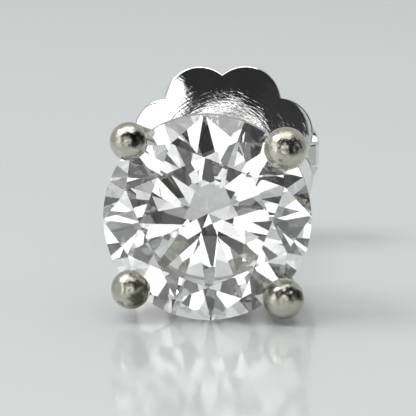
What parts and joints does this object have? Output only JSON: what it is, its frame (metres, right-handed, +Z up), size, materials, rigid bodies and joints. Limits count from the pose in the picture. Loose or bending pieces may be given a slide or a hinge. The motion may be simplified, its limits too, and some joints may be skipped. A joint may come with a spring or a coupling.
{
  "type": "diamond stud earring",
  "caption": "Round brilliant stud in a four-prong ball-tipped basket on an ear post, with a sliding scalloped butterfly clutch.",
  "frame": {"origin": "middle of the footprint, on the surface that the stud lies on", "axes": "+Z up; the stone looks towards -Y and the ear post runs towards +Y, level"},
  "size_m": [0.0068, 0.016, 0.0065],
  "materials": {
    "diamond": "polished colourless diamond, index 2.42, flat sharp facets",
    "white_gold": "worn polished 14 carat white gold, faintly warm, fine handling scratches",
    "rhodium_white_gold": "bright rhodium-plated white gold sheet, mirror polished with fine scratches"
  },
  "bodies": {
    "stud": {"diamond": "diamond", "prong_setting": "white_gold"},
    "clutch": {"butterfly_clutch": "rhodium_white_gold"}
  },
  "joints": [
    {"name": "clutch_slide", "type": "slide", "parent": "stud", "child": "clutch", "axis": [0, 1, 0], "range_m": [-0.0069, 0.004]}
  ]
}
